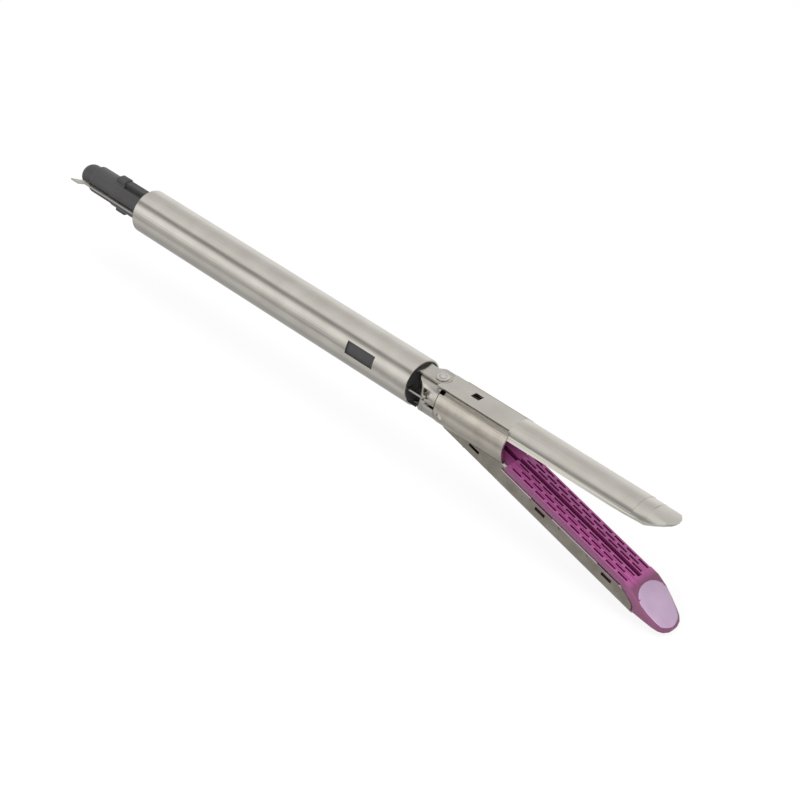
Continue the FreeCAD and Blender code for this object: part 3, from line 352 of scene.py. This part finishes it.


# Nose flat: a thin crowned pad on the slope of the cartridge's nose, coloured paler than the nose
# as a painted reflection of the light.
# Each section, in mm: way ahead of the flat's start, half width, half width of the level part,
# height of the side below the shoulder. The pad is drawn as with the jaw closed and then tilted.
noseFlat = {
    "start": 171.9, "deckHeight": 1.8, "slope": 0.38, "from": 0.75, "to": 11.45,
    "arcBehind": 3.6, "arcAhead": 1.3, "leastArc": 0.0004,
    "sections": ((0.0, 5.25, 4.35, 0.55), (0.63, 5.25, 4.35, 0.55), (3.6, 5.15, 4.75, -0.3),
                 (6.4, 4.85, 4.3, -1.4), (8.6, 4.4, 3.5, -2.1), (10.1, 3.9, 2.7, -2.5),
                 (11.1, 3.0, 1.5, -2.8), (11.7, 1.6, 0.5, -2.95)),
    "reach": 0.45, "crown": 0.2, "sink": 0.05, "edgePower": 8, "thick": 0.3,
    "rows": 60, "columns": 40,
}
# purple polymer painted paler, a painted reflection of the light on the nose's face, with hardly
# any grain
noseReflectionPaint = {"dark": "#a085a2", "light": "#b7a0b8", "rough": 0.3, "grainMm": 0.6, "bump": 0.05}


def makeNoseFlat(setting):
    # the pad's height is that of the slope, or of the elliptic shoulder outside its level part,
    # plus a crown that dies out towards the outline; its ends are quarter ellipses
    ahead = np.linspace(0, 1, setting["rows"]) * (setting["to"] - setting["from"]) + setting["from"]
    table = np.array(setting["sections"])
    half, level, side = [np.interp(ahead, table[:, 0], table[:, i]) for i in (1, 2, 3)]
    top = setting["deckHeight"] - setting["slope"] * ahead
    opening = np.clip((ahead - setting["from"]) / setting["arcBehind"], 0, 1)
    arc = np.sqrt(np.clip(1 - (1 - opening) ** 2, setting["leastArc"], 1))
    closing = np.clip((setting["to"] - ahead) / setting["arcAhead"], 0, 1)
    arc *= np.sqrt(np.clip(1 - (1 - closing) ** 2, setting["leastArc"], 1))
    width = (level + setting["reach"] * (half - level)) * arc
    share = np.sin(np.linspace(-0.5, 0.5, setting["columns"]) * np.pi)
    y = width[:, None] * share
    over = np.clip((np.abs(y) - level[:, None]) / (half - level)[:, None], 0, 1)
    z = side[:, None] + (top - side)[:, None] * np.sqrt(1 - over ** 2)
    power = setting["edgePower"]
    edge = np.maximum(np.abs(share) ** power, (1 - arc[:, None]) ** power)
    z = z + setting["crown"] - (setting["crown"] + setting["sink"]) * edge
    x = np.repeat((setting["start"] + ahead)[:, None], setting["columns"], 1)
    fromPivot = np.stack([x - jawPivot[0], y, z - jawPivot[2]], 2)
    turned = fromPivot[..., :1] * jawForward + fromPivot[..., 2:] * jawUp
    turned[..., 1] = fromPivot[..., 1]
    points = (turned + jawPivot).reshape(-1, 3) * mm
    across = setting["columns"]
    first = np.arange(setting["rows"] - 1)[:, None] * across + np.arange(across - 1)
    quads = np.stack([first, first + across, first + across + 1, first + 1], 2)
    mesh = bpy.data.meshes.new("noseFlat")
    mesh.from_pydata(points.tolist(), [], quads.reshape(-1, 4).tolist())
    mesh.shade_smooth()
    mesh.materials.append(plasticMaterial("purplePolymerPaintedReflection", noseReflectionPaint))
    piece = addObject("noseFlat", mesh)
    wall = piece.modifiers.new("thickness", "SOLIDIFY")
    wall.thickness = setting["thick"] * mm
    wall.offset = -1
    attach(piece, "cartridge_jaw")


makeNoseFlat(noseFlat)
print("nose flat laid")


# Swivel rivets, in mm: a spun head with a domed middle, a groove and a rolled ring, on a shank
rivet = {
    "x": 106.0, "shank": 1.1, "head": 1.6, "bottom": 2.75, "seat": 4.70, "top": 5.4,
    "dome": 0.75, "domeDrop": 0.32, "domePoints": 9,
    "lipWidth": 0.03, "lipDrop": 0.08, "grooveEdge": 0.06, "grooveZ": 4.86,
    "ringInner": 1.02, "ringRise": 0.2, "ringPoints": 11,
    "columns": 64, "sharpDegrees": 50,
}


def rivetProfile(setting):
    # radius and height in mm from the pole on top to the pole below: a shallow parabola, a groove,
    # half an ellipse for the ring, the head's underside and the shank
    edge = setting["dome"]
    dome = np.linspace(0, edge, setting["domePoints"])
    domeZ = setting["top"] - setting["domeDrop"] * (dome / edge) ** 2
    groove = [(edge + setting["lipWidth"], domeZ[-1] - setting["lipDrop"]),
              (edge + setting["grooveEdge"], setting["grooveZ"])]
    turn = np.linspace(np.pi, 0, setting["ringPoints"])
    half = (setting["head"] - setting["ringInner"]) / 2
    ring = setting["ringInner"] + half + half * np.cos(turn)
    ringZ = setting["grooveZ"] + setting["ringRise"] * np.sin(turn)
    under = [(setting["head"], setting["seat"]), (setting["shank"], setting["seat"]),
             (setting["shank"], setting["bottom"]), (0.0, setting["bottom"])]
    return np.concatenate([np.column_stack([dome, domeZ]), groove,
                           np.column_stack([ring, ringZ]), under])


def spinRivet(name, setting, flip):
    # every point is (radius cos, radius sin, height) about the centre, poles are single points
    profile = rivetProfile(setting)
    columns = setting["columns"]
    turn = np.linspace(0, 2 * np.pi, columns, endpoint=False)
    inner = profile[1:-1]
    x = setting["x"] + inner[:, 0, None] * np.cos(turn)
    y = inner[:, 0, None] * np.sin(turn)
    z = np.repeat(inner[:, 1, None], columns, 1)
    poles = [(setting["x"], 0, profile[0, 1]), (setting["x"], 0, profile[-1, 1])]
    points = np.concatenate([np.stack([x, y, z], 2).reshape(-1, 3), poles])
    points[:, 2] *= flip
    row = np.arange(len(inner) - 1)[:, None] * columns
    here = np.arange(columns)
    after = (here + 1) % columns
    quads = np.stack([row + here, row + columns + here, row + columns + after, row + after], 2)
    last = (len(inner) - 1) * columns
    top, bottom = len(points) - 2, len(points) - 1
    caps = [(top, a, b) for a, b in zip(here.tolist(), after.tolist())]
    caps += [(bottom, last + b, last + a) for a, b in zip(here.tolist(), after.tolist())]
    faces = quads.reshape(-1, 4).tolist() + caps
    if flip < 0:
        # mirrored, so the faces turn round to point outwards again
        faces = [face[::-1] for face in faces]
    mesh = bpy.data.meshes.new(name)
    mesh.from_pydata((points * mm).tolist(), [], faces)
    mesh.shade_smooth()
    mesh.set_sharp_from_angle(angle=math.radians(setting["sharpDegrees"]))
    mesh.materials.append(finishes["pin_steel"])
    return addObject(name, mesh)


for node, flip in (("pivot_rivet_upper", 1), ("pivot_rivet_lower", -1)):
    head = spinRivet(node + "Finished", rivet, flip)
    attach(head, bodyOf[node])
    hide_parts(node)
print("rivets spun")

# The other CAD nodes show as they are, in the finish of their slot
for name, piece in nodes.items():
    piece.data.materials.clear()
    piece.data.materials.append(finishes[slotOf[name]])
print("nodes finished")


# Pale seamless floor: white to the camera apart from the object's faint shadow
floorSetting = {"halfSize": 6.0, "colour": "#f5f5f5", "roughness": 0.9, "ownWhite": 0.86}


def makeFloor(setting):
    low = cadBox[0][2]
    size = setting["halfSize"]
    corners = [(-size, -size, low), (size, -size, low), (size, size, low), (-size, size, low)]
    mesh = bpy.data.meshes.new("floor")
    mesh.from_pydata(corners, [], [(0, 1, 2, 3)])
    floor = addObject("floor", mesh)
    material, tree = newMaterial("whitePaper")
    paper = addNode(tree, "ShaderNodeBsdfPrincipled", Base_Color=hexColour(setting["colour"]),
                    Roughness=setting["roughness"])
    # part of the white comes from the paper itself, for camera rays alone
    paths = addNode(tree, "ShaderNodeLightPath")
    share = addNode(tree, "ShaderNodeMath", {"operation": "MULTIPLY"},
                    i0=paths.outputs["Is Camera Ray"], i1=setting["ownWhite"])
    white = addNode(tree, "ShaderNodeEmission", Color=hexColour("#ffffff"), Strength=1.0)
    mixed = addNode(tree, "ShaderNodeMixShader", i0=share.outputs[0], i1=paper.outputs[0],
                    i2=white.outputs[0])
    addNode(tree, "ShaderNodeOutputMaterial", i0=mixed.outputs[0])
    mesh.materials.append(material)
    floor.visible_glossy = False  # metal shows the cloth tent instead


# Cloth tent along the shaft's line, which only reflections see. Its brightness goes with the angle
# about the line: 0 is the near side, 90 straight up, 180 the far side.
tentSetting = {
    "radius": 0.6, "halfLength": 3.0, "columns": 180,
    "bands": ((-180, 0.93), (-150, 0.75), (-120, 0.55), (-91, 0.42), (-65, 0.5), (-39, 0.7),
              (-28, 0.5), (-20, 0.42), (-10, 0.58), (3, 0.85), (18, 1.06), (32, 0.98), (42, 0.5),
              (51, 0.24), (58, 0.45), (66, 0.9), (80, 0.86), (118, 0.68), (140, 0.72), (160, 0.92),
              (180, 0.93)),
}


def makeTent(setting):
    # a tube about X: every point is radius * (cos, sin) of its angle, at one of two ends
    angle = np.linspace(-180, 180, setting["columns"], endpoint=False)
    glow = np.interp(angle, *zip(*setting["bands"]))
    turn = np.radians(angle)
    ring = np.stack([-np.cos(turn), np.sin(turn)], 1) * setting["radius"]
    ends = [np.column_stack([np.full(len(turn), x), ring])
            for x in (-setting["halfLength"], setting["halfLength"])]
    first = np.arange(len(turn))
    after = (first + 1) % len(turn)
    faces = np.stack([first, after, after + len(turn), first + len(turn)], 1)
    mesh = bpy.data.meshes.new("reflectionTent")
    mesh.from_pydata(np.concatenate(ends).tolist(), [], faces.tolist())
    brightness = mesh.attributes.new("glow", "FLOAT", "POINT")
    brightness.data.foreach_set("value", np.tile(glow, len(ends)))
    material, tree = newMaterial("tentCloth")
    read = addNode(tree, "ShaderNodeAttribute", {"attribute_name": "glow"})
    light = addNode(tree, "ShaderNodeEmission", Strength=read.outputs["Fac"])
    addNode(tree, "ShaderNodeOutputMaterial", i0=light.outputs[0])
    mesh.materials.append(material)
    tent = addObject("reflectionTent", mesh)
    for ray in ("camera", "diffuse", "transmission", "volume_scatter", "shadow"):
        setattr(tent, "visible_" + ray, False)


studioWhite = {"colour": "#ffffff", "light": 0.6, "shown": 1.0}


def makeWorld(setting):
    # white to camera, glossy and transmission rays, softer as a light
    world = bpy.data.worlds.new("studio")
    bpy.context.scene.world = world
    world.use_nodes = True
    tree = world.node_tree
    tree.nodes.clear()
    white = hexColour(setting["colour"])
    paths = addNode(tree, "ShaderNodeLightPath")
    shiny = addNode(tree, "ShaderNodeMath", {"operation": "MAXIMUM"},
                    i0=paths.outputs["Is Glossy Ray"], i1=paths.outputs["Is Transmission Ray"])
    seen = addNode(tree, "ShaderNodeMath", {"operation": "MAXIMUM"},
                   i0=paths.outputs["Is Camera Ray"], i1=shiny.outputs[0])
    light = addNode(tree, "ShaderNodeBackground", Color=white, Strength=setting["light"])
    shown = addNode(tree, "ShaderNodeBackground", Color=white, Strength=setting["shown"])
    mixed = addNode(tree, "ShaderNodeMixShader", i0=seen.outputs[0], i1=light.outputs[0],
                    i2=shown.outputs[0])
    addNode(tree, "ShaderNodeOutputWorld", i0=mixed.outputs[0])


# Softboxes: they light the plastic and draw the shadows, and stay out of the reflections
softboxes = {
    "topSoftbox": {"place": (0.1, -0.1, 0.9), "size": (1.0, 0.6), "power": 5.0},
    "sideSoftbox": {"place": (0.35, -0.85, 0.45), "size": (0.8, 0.5), "power": 6.5},
}
softboxAim = (0.08, 0, 0)


def makeSoftbox(name, setting):
    data = bpy.data.lights.new(name, "AREA")
    data.energy = setting["power"]
    data.shape = "RECTANGLE"
    data.size, data.size_y = setting["size"]
    lamp = addObject(name, data)
    lamp.location = setting["place"]
    aim = Vector(softboxAim) - Vector(setting["place"])
    lamp.rotation_euler = aim.to_track_quat("-Z", "Y").to_euler()
    lamp.visible_glossy = False


makeFloor(floorSetting)
makeTent(tentSetting)
makeWorld(studioWhite)
for name, setting in softboxes.items():
    makeSoftbox(name, setting)
bpy.context.scene.view_settings.view_transform = "Standard"
print("studio set")
